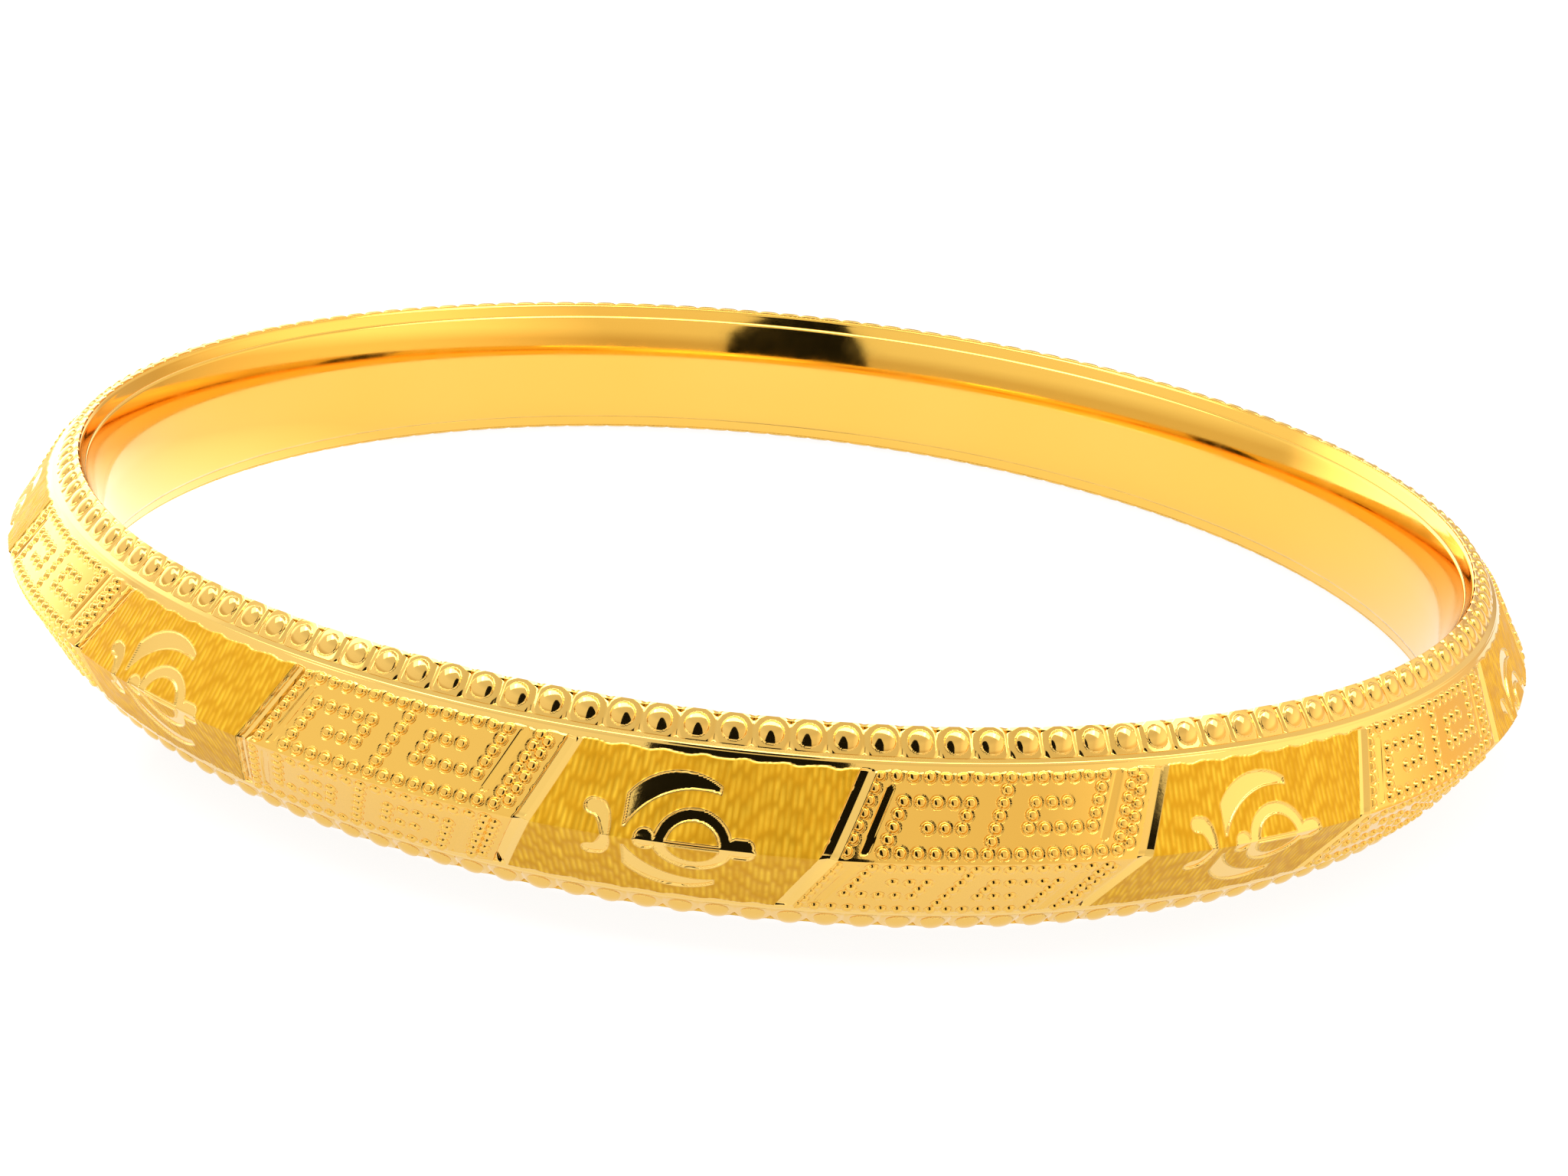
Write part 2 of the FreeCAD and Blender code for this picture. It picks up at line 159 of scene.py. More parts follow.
def emblem(x, y):
    """Blades and a ring, on one side of the ridge: x along the ring from the panel's border."""
    blade = np.maximum.reduce([disc(x, y, BLADE_OUTER), -disc(x, y, BLADE_INNER),
                               3.30 - x, x - 6.28, 0.42 - y])
    ring = np.abs(np.hypot(x - RING_X, y) - RING_RADIUS) - RING_HALF
    knot = disc(x, y, (4.01, 0.12, 0.30))
    spine = stroke(x, y, [(3.75, 0.0, 0.07), (7.4, 0.0, 0.10)])
    point = stroke(x, y, [(6.95, 0.15, 0.26), (7.25, 0.15, 0.26), (7.5, 0.02, 0.06)])
    hook = stroke(x, y, [(2.21, 0.90, 0.25), (2.43, 0.86, 0.25), (2.57, 0.70, 0.22),
                         (2.66, 0.48, 0.18), (2.71, 0.28, 0.15), (2.76, 0.0, 0.09)])
    return np.minimum.reduce([blade, ring, knot, spine, point, hook])


def hatch(x, y):
    """Staggered dashes ground up the slope: how deep each place is in one."""
    pitch, length, half_width, half_length = 0.21, 0.92, 0.070, 0.37
    column = np.floor(x / pitch)
    total = np.zeros(np.shape(x))
    for across in (-1, 0, 1):
        c = column + across
        shift = 0.5 * np.mod(c, 2) + 0.8 * (scatter(c, 3.0) - 0.5)
        row = np.floor(y / length - shift)
        for up in (-1, 0, 1):
            r = row + up
            wander = 0.04 * (scatter(c, r, 1.0) - 0.5)
            centre_y = (r + 0.5 + shift) * length
            centre_x = (c + 0.5) * pitch + wander
            depth = 0.65 + 0.5 * scatter(c, r, 2.0)
            lean = 0.05 * (y - centre_y)
            total += depth * np.exp(-((x - centre_x - lean) / half_width) ** 2
                                    - ((y - centre_y) / half_length) ** 4)
    return total


def border_cut(s, y):
    """A border groove's height: a wall down, a flat mirror floor and a slope up, s across it."""
    ragged = 0.008 * np.sin(y * 7.4) + 0.0048 * np.sin(y * 17.1 + 1.0)
    depth, floor_start, floor_lean, slope_start, slope_lean = 0.145, -0.28, 0.07, 0.03, 0.466
    wall = smooth(-0.31, -0.265, s + ragged)
    floor = floor_lean * (s - floor_start) - depth
    rise = floor + (slope_lean - floor_lean) * np.maximum(s - slope_start, 0)
    return wall * np.minimum(rise, 0)


def grain_spots():
    """Sheared x from the key panel's start, and slope, of every grain."""
    spots = [(1 + column, row)
             for row, line in enumerate(reversed(KEY_PATTERN))
             for column, mark in enumerate(line) if mark == "#"]
    spots += [(EXTRA_COLUMN, row + 0.5) for row in range(len(KEY_PATTERN) - 1)]
    return [(column * DEGREE, ROW_FIRST + ROW_STEP * row) for column, row in spots]


def grains(x, y, lean):
    """Height of the grains in their cups, and how far the nearest one's centre is.

    A grain's place shifts along the ring by lean for each unit up the slope."""
    radius, ball, top = 0.21, 0.42, 0.105
    cup_radius, cup_depth = 0.275, 0.03
    near = np.full(np.shape(x), 9.0)
    for spot_s, spot_y in grain_spots():
        near = np.minimum(near, np.hypot(x - spot_s - lean * spot_y, y - spot_y))
    dome = np.maximum(top - near ** 2 / (2 * ball) - 0.06 * smooth(0.13, radius, near), 0)
    cup = cup_depth * smooth(cup_radius, 0.225, near) * smooth(0.12, radius, near)
    return dome - cup, near


def key_bars(s, y):
    """Two bright-cut bars, where the meander runs up the slope at the panel's ends."""
    first, last = (angle * DEGREE for angle in KEY_BARS)
    half_width = 0.15
    return np.minimum(stroke(s, y, [(first, 0.36, half_width), (first - 0.04, 2.42, half_width)]),
                      stroke(s, y, [(last, 0.80, half_width), (last, 2.88, half_width)]))


def relief(s, x, y, side):
    """Height out of a plain flank, and the shares of hatched ground, dashes and key panel; the key
    panel's share carries a painted bounce shade.
    """
    panel = s < EMBLEM_SPAN * DEGREE
    key_s = s - EMBLEM_SPAN * DEGREE
    lean = side * BORDER_SLANT * DEGREE / SLOPE
    key_x = x - EMBLEM_SPAN * DEGREE

    cut = emblem(x, y)
    dashes = hatch(x, y)
    hatched = -HATCH_DEPTH * dashes * smooth(0.03, 0.10, cut)
    wall = smooth(0.012, -0.022, cut)
    burr = 0.004 * np.exp(-((cut - 0.035) / 0.022) ** 2)
    emblem_height = hatched * (1 - wall) - STROKE_DEPTH * wall + burr

    grain_height, near = grains(key_x, y, lean)
    bar = key_bars(key_s, y)
    bar_wall = smooth(0.01, -0.015, bar)
    open_floor = smooth(0.17, 0.21, near)
    in_bar = bar_wall * open_floor
    first, last = (angle * DEGREE for angle in KEY_BARS)
    nearest_bar = np.where(key_s < (first + last) / 2, first, last)
    bar_floor = BAR_LEAN * (key_s - nearest_bar) - BAR_DEPTH
    key_height = grain_height * (1 - in_bar) + bar_floor * in_bar

    inside_key = smooth(KEY_MARGIN, KEY_MARGIN + 0.05, key_s)
    height = np.where(panel, emblem_height, key_height * inside_key)
    in_groove = np.zeros(np.shape(s), bool)
    for centre in GROOVES:
        offset = s - centre * DEGREE
        height = np.where(np.abs(offset) < 0.33, border_cut(offset, y), height)
        in_groove |= np.abs(offset) < 0.30
    matte = np.where(panel & ~in_groove, smooth(0.02, 0.07, cut), 0.0)

    # the cut along the flank's edge, with its wavy lower side
    phase = (s / DEGREE + FIRST_BORDER) / (360 / BEADS) * 2 * math.pi
    wave = PANEL_TOP + 0.035 * np.cos(phase) + 0.012 * np.sin(s * 9.0)
    above = smooth(wave - 0.045, wave + 0.045, y)
    height = height * (1 - above) - EDGE_CUT_DEPTH * above * smooth(SLOPE + 0.12, SLOPE, y)
    matte = matte * (1 - above)
    dashes = dashes * matte
    # the key panels' share, where a darker gold is painted as shade from light bounced between the
    # grains
    key = np.where(panel | in_groove, 0.0, 0.8) * (1 - above)

    # the ridge is worn a little round
    height = height - 0.007 * (1 - smooth(0.0, 0.09, y))
    return height, matte, dashes, key


def flank_places(a, y, side):
    """Sheared x, true x and angle for the ridge angle a and slope y."""
    s = a * DEGREE
    turned = a + side * BORDER_SLANT * y / SLOPE
    return s, turned * DEGREE, np.radians(FIRST_BORDER + turned)


def flank_surface(a, y, side):
    """Points of the worked surface, in millimetres, and the shares of its finishes."""
    s, x, around = flank_places(a, y, side)
    height, *shares = relief(s, x, y, side)
    past = np.clip((y - SLOPE) / LEDGE, 0, 1)
    climb = np.minimum(y, SLOPE) / SLOPE
    radius = RIDGE_RADIUS - FALL * climb - (EDGE[0] - SEAT[0]) * past
    level = EDGE[1] * climb + (SEAT[1] - EDGE[1]) * past
    # square to the flank, but straight out at the ridge, so that both flanks meet there
    tip = smooth(0.0, 0.30, y)
    out, up = 1 - (1 - OUTWARD) * tip, UPWARD * tip
    radius = radius + height * out
    level = level + height * up
    points = np.stack([radius * np.sin(around), -radius * np.cos(around),
                       HALF_WIDTH + side * level], -1)
    return points, shares


# ---- meshes -----------------------------------------------------------------------------------

def normals_by_difference(surface, u, v, step_u, step_v, side):
    """Unit normals of surface(u, v), which point away from the metal."""
    along = surface(u + step_u, v) - surface(u - step_u, v)
    across = surface(u, v + step_v) - surface(u, v - step_v)
    normal = np.cross(along, across) * side
    return normal / np.linalg.norm(normal, axis=-1, keepdims=True)


def mesh_from_grid(name, points, flip, closed_ring=False, normals=None, values=None):
    """A closed body from a grid of columns round the ring and rows round the section."""
    columns, rows = points.shape[:2]
    index = np.arange(columns * rows).reshape(columns, rows)
    first = index if closed_ring else index[:-1]
    second = np.roll(index, -1, 0) if closed_ring else index[1:]
    quads = np.stack([first, second, np.roll(second, -1, 1), np.roll(first, -1, 1)], -1)
    quads = quads.reshape(-1, 4)
    if flip:
        quads = quads[:, ::-1]
    faces = quads.tolist()
    if not closed_ring:
        start, end = index[0].tolist(), index[-1].tolist()
        faces += [start[::-1], end] if flip else [start, end[::-1]]
    mesh = bpy.data.meshes.new(name)
    mesh.from_pydata((points.reshape(-1, 3) * MM).tolist(), [], faces, shade_flat=False)
    for key, value in (values or {}).items():
        attribute = mesh.attributes.new(key, "FLOAT", "POINT")
        attribute.data.foreach_set("value", np.ascontiguousarray(value.ravel(), np.float32))
    if normals is not None:
        mesh.normals_split_custom_set_from_vertices(normals.reshape(-1, 3).tolist())
    return mesh


def with_back(front, front_normals, back_section, angles):
    """Adds the hidden rows behind a worked surface: radius and height pairs, at the angles."""
    rows, normals = [front], [front_normals]
    for radius, level in back_section:
        ring = np.stack([radius * np.sin(angles), -radius * np.cos(angles),
                         np.full(np.shape(angles), level)], -1)
        inward = np.stack([-np.sin(angles), np.cos(angles), 0 * angles], -1)
        rows.append(ring[:, None, :])
        normals.append(inward[:, None, :])
    return np.concatenate(rows, 1), np.concatenate(normals, 1)


def flank_mesh(side):
    """One pair of panels on one flank, with the ledge above it and the wall's inside."""
    columns, rows, ledge_rows = 561, 88, 8
    a = np.linspace(0, PAIR_SPAN, columns)[:, None] * np.ones((1, rows + ledge_rows))
    top = SLOPE + LEDGE
    y = np.concatenate([np.linspace(0, SLOPE, rows), np.linspace(SLOPE, top, ledge_rows + 1)[1:]])
    y = y[None, :] * np.ones((columns, 1))
    front, shares = flank_surface(a, y, side)
    step = 0.010
    normals = normals_by_difference(lambda u, v: flank_surface(u, v, side)[0],
                                    a, np.clip(y, step, top - step), step / DEGREE, step, side)
    apex = RIDGE_RADIUS - FLANK_WALL / OUTWARD
    bevel = FOOT[1] - 0.2
    back = [(SEAT[0] - 0.02, SEAT[1]), (FOOT[0], FOOT_TOP), FOOT,
            (apex - FALL * bevel / EDGE[1], bevel), (apex, 0.0)]
    back = [(radius, HALF_WIDTH + side * level) for radius, level in back]
    angles = flank_places(a[:, -1], y[:, -1], side)[2]
    points, normals = with_back(front, normals, back, angles)
    plain = np.zeros((columns, len(back)))
    values = {name: np.concatenate([share, plain], 1)
              for name, share in zip(("matte", "dashes", "key"), shares)}
    return mesh_from_grid(f"{SIDE_NAMES[side]}_flank_sector", points, flip=side < 0,
                          normals=normals, values=values)


BEAD_PITCH_ANGLE = 360 / BEADS
BAND_FALL, BAND_RISE = SEAT[0] - CREST[0], CREST[1] - SEAT[1]
BAND_WIDTH = math.hypot(BAND_FALL, BAND_RISE)
BAND_OUT, BAND_UP = BAND_RISE / BAND_WIDTH, BAND_FALL / BAND_WIDTH
BEADS_PER_PIECE = 32
BEAD_CENTRE = 0.50               # up the row, from the seat
BEAD_TOP, BEAD_BALL = 0.13, 0.92      # height of the shallow dome, and the radius of its middle
LIP_LEVEL, LIP_FALL = -0.035, 0.13    # the lip's height beside the dome, and its fall up the row


def bead_surface(a, q, side):
    """The bead row, from the seat at q = 0 to the crest: domes on scalloped lips."""
    radius = SEAT[0] - BAND_FALL * q / BAND_WIDTH
    level = SEAT[1] + BAND_RISE * q / BAND_WIDTH
    pitch = math.radians(BEAD_PITCH_ANGLE) * (SEAT[0] + CREST[0]) / 2
    p = (np.mod(a / BEAD_PITCH_ANGLE + 0.5, 1) - 0.5) * pitch
    up_row = q - BEAD_CENTRE
    d = np.hypot(p, up_row)
    dome = BEAD_TOP - d ** 2 / (2 * BEAD_BALL) - 0.18 * smooth(0.38, 0.50, d)
    saddle = 0.03 * smooth(0.45, pitch / 2, np.abs(p)) + 1.6 * np.maximum(d - 0.58, 0) ** 2
    lip = LIP_LEVEL - saddle - LIP_FALL * up_row
    corner = -0.01 - 0.6 * q         # fills the hollows between the beads, down at the seat
    height = np.maximum.reduce([dome, lip, corner])
    out = radius + height * BAND_OUT
    up = level + height * BAND_UP
    up = np.minimum(up, CREST[1])
    around = np.radians(FIRST_BORDER + a)
    return np.stack([out * np.sin(around), -out * np.cos(around), HALF_WIDTH + side * up], -1)


def bead_mesh(side):
    """One piece of the bead row, with the strip's back."""
    columns, rows = 40 * BEADS_PER_PIECE + 1, 30
    a = np.linspace(0, BEADS_PER_PIECE * BEAD_PITCH_ANGLE, columns) - BEAD_PITCH_ANGLE / 2
    a = a[:, None] * np.ones((1, rows))
    q = np.linspace(0, BAND_WIDTH, rows)[None, :] * np.ones((columns, 1))
    front = bead_surface(a, q, side)
    step = 0.008
    normals = normals_by_difference(lambda u, v: bead_surface(u, v, side),
                                    a, np.clip(q, step, BAND_WIDTH - step),
                                    math.degrees(step / SEAT[0]), step, side)
    depth = 0.3
    back = [(CREST[0] - depth * BAND_OUT, CREST[1] - depth * BAND_UP), (FOOT[0], FOOT_TOP)]
    back = [(radius, HALF_WIDTH + side * level) for radius, level in back]
    points, normals = with_back(front, normals, back, np.radians(FIRST_BORDER + a[:, 0]))
    return mesh_from_grid(f"{SIDE_NAMES[side]}_bead_row", points, flip=side < 0, normals=normals)


def inner_face_radius(height):
    """Radius of the convex face that touches the wrist."""
    rise = np.maximum(np.abs(height) - BORE_LAND_HALF, 0)
    return BORE_RADIUS + COMFORT_RADIUS - np.sqrt(COMFORT_RADIUS ** 2 - rise ** 2)


def lathe(name, section, flip):
    """A ring of the closed section, given as radius and height pairs."""
    segments = 720
    around = np.linspace(0, 2 * math.pi, segments, endpoint=False)[:, None]
    radius = np.array([r for r, _ in section])[None, :]
    level = np.array([h for _, h in section])[None, :] + 0 * around
    points = np.stack([radius * np.sin(around), -radius * np.cos(around), HALF_WIDTH + level], -1)
    return mesh_from_grid(name, points, flip, closed_ring=True)


def rim_section(side):
    """The edge ring: its rounded top, its inner face, and its hidden foot."""
    land = CREST[1] - LIP_STEP
    shoulder = (float(inner_face_radius(SHOULDER_HEIGHT)), SHOULDER_HEIGHT)
    rounding = curve([(31.06, land), (30.97, land), (shoulder[0] + 0.04, 3.54), shoulder], 16)
    heights = np.linspace(SHOULDER_HEIGHT - 0.07, LINING_HALF_WIDTH, 8)
    face = [(float(inner_face_radius(h)), float(h)) for h in heights]
    section = [(CREST[0], land), *[tuple(p) for p in rounding], *face,
               (LINING_OUTER_RADIUS, LINING_HALF_WIDTH), (LINING_OUTER_RADIUS, FOOT[1]), FOOT,
               (FOOT[0], FOOT_TOP), (CREST[0] - 0.24, CREST[1] - 0.18)]
    return [(radius, side * level) for radius, level in section]


def lining_section():
    """The lining: its convex inner face and its straight outside."""
    heights = np.linspace(-LINING_HALF_WIDTH, LINING_HALF_WIDTH, 41)
    face = [(float(inner_face_radius(h)), float(h)) for h in heights]
    return face + [(LINING_OUTER_RADIUS, LINING_HALF_WIDTH),
                   (LINING_OUTER_RADIUS, -LINING_HALF_WIDTH)]


# ---- materials --------------------------------------------------------------------------------

def new_material(name):
    """A metal, with its shader and node tree."""
    material = bpy.data.materials.new(name)
    material.use_nodes = True
    shader = material.node_tree.nodes["Principled BSDF"]
    shader.inputs["Metallic"].default_value = 1.0
    return material, shader, material.node_tree


def noise(tree, scale, detail=3.0):
    """Noise with this many cells to the metre."""
    coordinates = tree.nodes.new("ShaderNodeTexCoord")
    texture = tree.nodes.new("ShaderNodeTexNoise")
    texture.inputs["Scale"].default_value = scale
    texture.inputs["Detail"].default_value = detail
    tree.links.new(coordinates.outputs["Object"], texture.inputs["Vector"])
    return texture.outputs["Fac"]


def spread(tree, value, low, high):
    """The value, from 0.3 to 0.7, spread from low to high."""
    node = tree.nodes.new("ShaderNodeMapRange")
    node.inputs["From Min"].default_value = 0.3
    node.inputs["From Max"].default_value = 0.7
    node.inputs["To Min"].default_value = low
    node.inputs["To Max"].default_value = high
    tree.links.new(value, node.inputs["Value"])
    return node.outputs["Result"]


def mix_colours(tree, factor, first, second):
    """The first colour where the factor is 0, and the second where it is 1."""
    node = tree.nodes.new("ShaderNodeMix")
    node.data_type = "RGBA"
    for socket, value in (("A", first), ("B", second)):
        target = next(i for i in node.inputs if i.name == socket and i.type == "RGBA")
        if isinstance(value, tuple):
            target.default_value = value
        else:
            tree.links.new(value, target)
    tree.links.new(factor, next(i for i in node.inputs if i.name == "Factor" and i.type == "VALUE"))
    return next(o for o in node.outputs if o.type == "RGBA")


def mix_values(tree, factor, first, second):
    """The same for two values."""
    node = tree.nodes.new("ShaderNodeMix")
    for index, value in ((2, first), (3, second)):
        if isinstance(value, (int, float)):
            node.inputs[index].default_value = value
        else:
            tree.links.new(value, node.inputs[index])
    tree.links.new(factor, node.inputs[0])
    return node.outputs[0]


def vertex_value(tree, name):
    """One of the shares that the mesh carries at its vertices."""
    node = tree.nodes.new("ShaderNodeAttribute")
    node.attribute_name = name
    return node.outputs["Fac"]


def bump(tree, shader, height, strength, distance):
    """Makes the surface finely uneven."""
    node = tree.nodes.new("ShaderNodeBump")
    node.inputs["Strength"].default_value = strength
    node.inputs["Distance"].default_value = distance
    tree.links.new(height, node.inputs["Height"])
    tree.links.new(node.outputs["Normal"], shader.inputs["Normal"])


GOLD = (0.95, 0.64, 0.19, 1)     # each gold is paired with a warmer one, in faint clouds
WARM_GOLD = (0.94, 0.61, 0.15, 1)
DEEP_GOLD = (0.98, 0.61, 0.125, 1)
DEEP_WARM_GOLD = (0.98, 0.58, 0.10, 1)
# painted bounce shade: a darker, more saturated gold for light bounced between the key panel's
# grains
KEY_PANEL_BOUNCE_SHADE = (0.89, 0.53, 0.10, 1)
BEAD_GOLD = (0.90, 0.58, 0.16, 1)
WARM_BEAD_GOLD = (0.88, 0.55, 0.13, 1)
MATTE_GOLD = (0.62, 0.30, 0.004, 1)
PALE_MATTE = (0.90, 0.56, 0.04, 1)
SOLDER_DARK = (0.62, 0.44, 0.16, 1)
SOLDER_LIGHT = (0.85, 0.62, 0.25, 1)


def polished_gold(name, rough_low, rough_high, first, second):
    """Mirror polish, with faint clouds of colour and uneven shine."""
    material, shader, tree = new_material(name)
    tree.links.new(mix_colours(tree, noise(tree, 90), first, second), shader.inputs["Base Color"])
    shine = spread(tree, noise(tree, 700, 5), rough_low, rough_high)
    tree.links.new(shine, shader.inputs["Roughness"])
    bump(tree, shader, noise(tree, 2600, 2), 0.02, 0.00001)
    return material


def engraved_gold():
    """Mirror cuts and hatched ground on one surface, told apart by the mesh's matte share, with a
    darker gold painted on the key panels as bounce shade.
    """
    material, shader, tree = new_material("engraved_gold")
    shader.inputs["Specular IOR Level"].default_value = 0.2
    share = vertex_value(tree, "matte")
    uneven = tree.nodes.new("ShaderNodeMath")
    uneven.operation = "MULTIPLY"
    tree.links.new(spread(tree, noise(tree, 1500, 4), 0.35, 1.1), uneven.inputs[0])
    tree.links.new(vertex_value(tree, "dashes"), uneven.inputs[1])
    ground = mix_colours(tree, uneven.outputs[0], MATTE_GOLD, PALE_MATTE)
    mirror = mix_colours(tree, noise(tree, 90), GOLD, WARM_GOLD)
    # a darker gold painted on the key panels, as shade from light bounced between the grains
    mirror = mix_colours(tree, vertex_value(tree, "key"), mirror, KEY_PANEL_BOUNCE_SHADE)
    tree.links.new(mix_colours(tree, share, mirror, ground), shader.inputs["Base Color"])
    rough = spread(tree, noise(tree, 900, 4), 0.42, 0.58)
    shine = spread(tree, noise(tree, 700, 4), 0.03, 0.08)
    tree.links.new(mix_values(tree, share, shine, rough), shader.inputs["Roughness"])
    tree.links.new(mix_values(tree, share, 1.0, 0.55), shader.inputs["Metallic"])
    bump(tree, shader, noise(tree, 9000, 3), 0.05, 0.00001)
    return material


def solder_gold():
    """Dull, mottled gold of the hidden fillet."""
    material, shader, tree = new_material("solder_gold")
    mottled = mix_colours(tree, noise(tree, 1200, 5), SOLDER_DARK, SOLDER_LIGHT)
    tree.links.new(mottled, shader.inputs["Base Color"])
    tree.links.new(spread(tree, noise(tree, 2500, 4), 0.4, 0.7), shader.inputs["Roughness"])
    return material


# ---- pieces -----------------------------------------------------------------------------------

def turned(mesh, angle):
    """A copy of the mesh, turned about the ring's axis."""
    copy = mesh.copy()
    copy.transform(Matrix.Rotation(math.radians(angle), 4, "Z"))
    return copy


def place(name, mesh, material, nodes):
    """Adds a piece that stands for these CAD nodes."""
    piece = bpy.data.objects.new(name, mesh)
    bpy.context.scene.collection.objects.link(piece)
    mesh.materials.append(material)
    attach(piece, "root")
    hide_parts(*nodes)


def build_pieces():
    """Makes every visible piece, and the look of the hidden solder."""
    mirror = polished_gold("polished_gold", 0.05, 0.12, DEEP_GOLD, DEEP_WARM_GOLD)
    beads = polished_gold("bead_gold", 0.04, 0.10, BEAD_GOLD, WARM_BEAD_GOLD)
    engraved = engraved_gold()
    place("lining", lathe("lining", lining_section(), flip=True),
          mirror, ["inner_band"])
    for side in (UPPER, LOWER):
        name = SIDE_NAMES[side]
        place(f"{name}_edge_ring", lathe(f"{name}_edge_ring", rim_section(side), flip=side > 0),
              mirror, [f"{name}_rim"])
        row = bead_mesh(side)
        for number in range(BEADS // BEADS_PER_PIECE):
            place(f"{name}_bead_row_{number + 1}",
                  turned(row, number * BEADS_PER_PIECE * BEAD_PITCH_ANGLE), beads,
                  [f"{name}_bead_band", f"{name}_beads"])
        sector = flank_mesh(side)
        for number in range(PAIRS):
            place(f"{name}_panels_{number + 1:02d}", turned(sector, number * PAIR_SPAN),
                  engraved, [f"{name}_flank", f"{name}_key_grains"])
    solder = solder_gold()
    for material_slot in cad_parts["ridge_solder"].material_slots:
        material_slot.material = solder


# ---- studio -----------------------------------------------------------------------------------

def add_camera():
    """Looks along +Y and down, with a slight roll to the side."""
    elevation, roll = math.radians(19.14), math.radians(5.978)
    se, ce = math.sin(elevation), math.cos(elevation)
    sr, cr = math.sin(roll), math.cos(roll)
    right = np.array([cr, se * sr, ce * sr])
    up = np.array([-sr, se * cr, ce * cr])
    forward = np.array([0, ce, -se])
    across, above, away = 0.0109, -0.0729, 3.1023     # in ridge radii
    eye = RIDGE_RADIUS * (across * right + above * up - away * forward) + [0, 0, HALF_WIDTH]
    data = bpy.data.cameras.new("camera")
    data.sensor_width = 36
    data.lens = 51.77
    data.clip_start = 0.002
    data.clip_end = 20
    camera = bpy.data.objects.new("camera", data)
    bpy.context.scene.collection.objects.link(camera)
    columns = np.column_stack([right, up, -forward])
    matrix = Matrix.Identity(4)
    for row in range(3):
        for column in range(3):
            matrix[row][column] = columns[row][column]
        matrix[row][3] = eye[row] * MM
    camera.matrix_world = matrix
    bpy.context.scene.camera = camera


def stage_surface(name, places, faces, grey, roughness=0.5, glow=0.0):
    """A plain surface of the studio, which may give a white light of its own."""
    mesh = bpy.data.meshes.new(name)
    mesh.from_pydata(places, [], faces)
    surface = bpy.data.objects.new(name, mesh)
    bpy.context.scene.collection.objects.link(surface)
    material = bpy.data.materials.new(f"{name}_paint")
    material.use_nodes = True
    shader = material.node_tree.nodes["Principled BSDF"]
    shader.inputs["Base Color"].default_value = (grey, grey, grey, 1)
    shader.inputs["Roughness"].default_value = roughness
    shader.inputs["Specular IOR Level"].default_value = 0.0
    shader.inputs["Emission Color"].default_value = (1, 1, 1, 1)
    shader.inputs["Emission Strength"].default_value = glow
    mesh.materials.append(material)
    return surface, shader, material.node_tree


def add_floor():
    """A pale floor, which glows more on the left."""
    size = 3.0
    _, shader, tree = stage_surface(
        "floor", [(-size, -size, 0), (size, -size, 0), (size, size, 0), (-size, size, 0)],
        [(0, 1, 2, 3)], grey=0.14, roughness=0.9)
    coordinates = tree.nodes.new("ShaderNodeTexCoord")
    split = tree.nodes.new("ShaderNodeSeparateXYZ")
    glow = tree.nodes.new("ShaderNodeMapRange")
    left, right, left_glow, right_glow = -0.042, -0.022, 1.94, 0.89
    glow.inputs["From Min"].default_value = left
    glow.inputs["From Max"].default_value = right
    glow.inputs["To Min"].default_value = left_glow
    glow.inputs["To Max"].default_value = right_glow
    tree.links.new(coordinates.outputs["Object"], split.inputs[0])
    tree.links.new(split.outputs["X"], glow.inputs["Value"])
    tree.links.new(glow.outputs["Result"], shader.inputs["Emission Strength"])


def add_backdrop():
    """A pale wall all round, far off, which only the camera sees."""
    radius, height, sides = 2.9, 2.5, 96
    around = [2 * math.pi * number / sides for number in range(sides)]
    places = [(radius * math.sin(angle), radius * math.cos(angle), level)
              for level in (0, height) for angle in around]
    faces = [(here, after, sides + after, sides + here)
             for here, after in zip(range(sides), [*range(1, sides), 0])]
    wall, _, _ = stage_surface("backdrop", places, faces, grey=0.22, glow=0.9)
    wall.visible_diffuse = False
    wall.visible_glossy = False
    wall.visible_shadow = False


def add_dark_card():
    """The camera's own dark body, seen only in the metal's reflections."""
    outline = [(-31, 0), (30, 0), (29, 55), (23, 80), (16, 102), (6, 122), (-14, 122), (-22, 98),
               (-28, 55)]
    distance = 108
    card, _, _ = stage_surface(
        "camera_body", [(x * MM, -distance * MM, z * MM) for x, z in outline],
        [list(range(len(outline)))], grey=0.006, roughness=0.8)
    card.visible_camera = False
    card.visible_diffuse = False
    card.visible_shadow = False


def ramp_node(tree, source, stops):
    """A colour ramp over the source, from stops of the form (position, colour)."""
    ramp = tree.nodes.new("ShaderNodeValToRGB")
    tree.links.new(source, ramp.inputs["Fac"])
    elements = ramp.color_ramp.elements
    while len(elements) < len(stops):
        elements.new(0.5)
    for element, (position, colour) in zip(elements, stops):
        element.position = position
        element.color = (*colour, 1)
    return ramp.outputs["Color"]


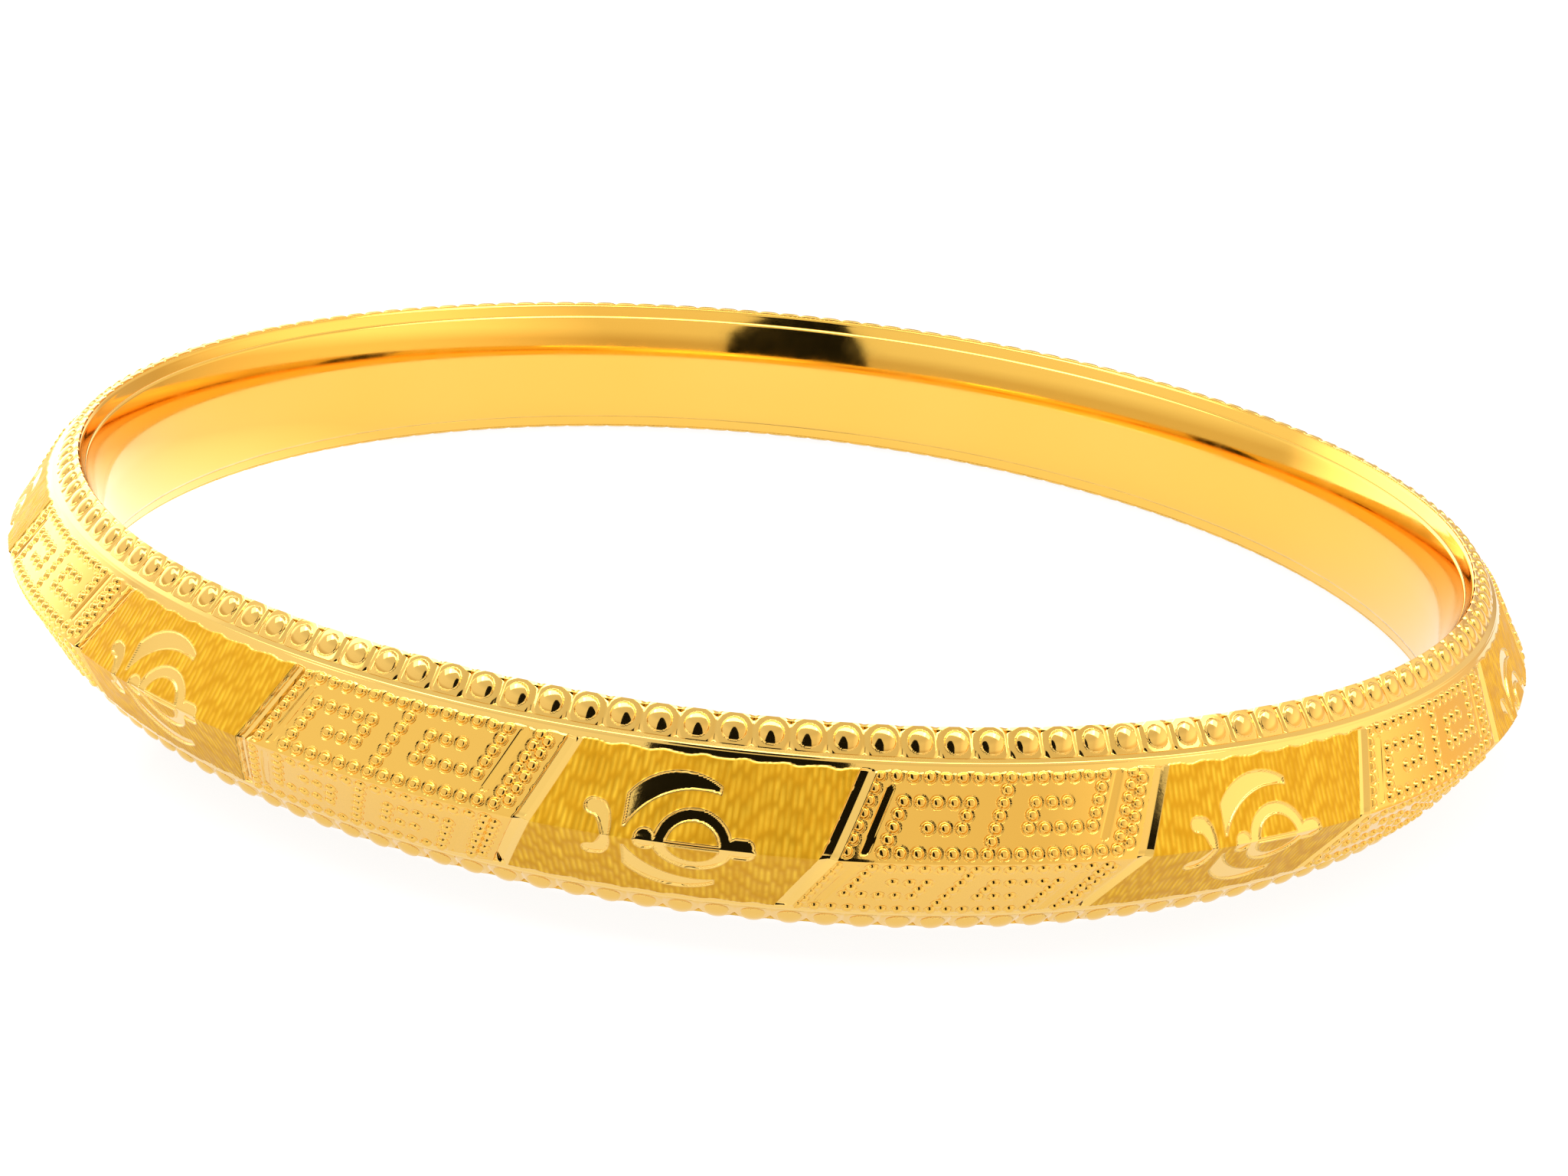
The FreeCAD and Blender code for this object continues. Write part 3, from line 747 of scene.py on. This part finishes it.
def add_world():
    """A white studio: dim and warm near the horizon, with a window behind on the left and a glow
    on the far right."""
    world = bpy.data.worlds.new("studio")
    world.use_nodes = True
    bpy.context.scene.world = world
    tree = world.node_tree
    background = tree.nodes["Background"]
    direction = tree.nodes.new("ShaderNodeTexCoord").outputs["Generated"]
    split = tree.nodes.new("ShaderNodeSeparateXYZ")
    tree.links.new(direction, split.inputs[0])
    sideways = tree.nodes.new("ShaderNodeMapRange")
    sideways.inputs["From Min"].default_value = -1.0
    tree.links.new(split.outputs["X"], sideways.inputs["Value"])
    by_height = ramp_node(tree, split.outputs["Z"], (
        (0.0, (0.70, 0.60, 0.46)), (0.14, (0.68, 0.58, 0.44)), (0.28, (0.92, 0.90, 0.88)),
        (0.62, (0.95, 0.95, 0.95)), (0.80, (0.82, 0.82, 0.82)), (0.95, (0.85, 0.85, 0.85))))
    by_side = ramp_node(tree, sideways.outputs["Result"], (
        (0.0, (1.12, 1.10, 1.06)), (0.40, (1.0, 0.97, 0.90)),
        (0.60, (1.0, 0.94, 0.82)), (0.80, (1.0, 0.91, 0.76)), (1.0, (1.75, 1.62, 1.42))))
    towards_window = tree.nodes.new("ShaderNodeVectorMath")
    towards_window.operation = "DOT_PRODUCT"
    towards_window.inputs[1].default_value = (-0.5, 0.86, 0.0)
    tree.links.new(direction, towards_window.inputs[0])
    window = ramp_node(tree, towards_window.outputs["Value"], (
        (0.70, (0.0, 0.0, 0.0)), (0.95, (2.0, 2.0, 2.1))))
    product = tree.nodes.new("ShaderNodeVectorMath")
    product.operation = "MULTIPLY_ADD"
    tree.links.new(by_height, product.inputs[0])
    tree.links.new(by_side, product.inputs[1])
    tree.links.new(window, product.inputs[2])
    tree.links.new(product.outputs["Vector"], background.inputs["Color"])


def add_softbox(name, location, size, power):
    """A rectangular lamp, in metres and watts, which faces the origin."""
    data = bpy.data.lights.new(name, "AREA")
    data.shape = "RECTANGLE"
    data.size, data.size_y = size
    data.energy = power
    light = bpy.data.objects.new(name, data)
    light.location = location
    light.rotation_euler = (-Vector(location)).to_track_quat("-Z", "Y").to_euler()
    bpy.context.scene.collection.objects.link(light)


add_camera()
add_world()
add_floor()
add_backdrop()
add_dark_card()
add_softbox("overhead", (0.0, 0.0, 0.60), (0.75, 0.27), 2.5)
add_softbox("left_high", (-0.36, 0.02, 0.50), (0.26, 0.26), 0.5)
add_softbox("right_high", (0.36, 0.02, 0.50), (0.26, 0.26), 0.5)
build_pieces()
bpy.context.scene.view_settings.view_transform = "Standard"
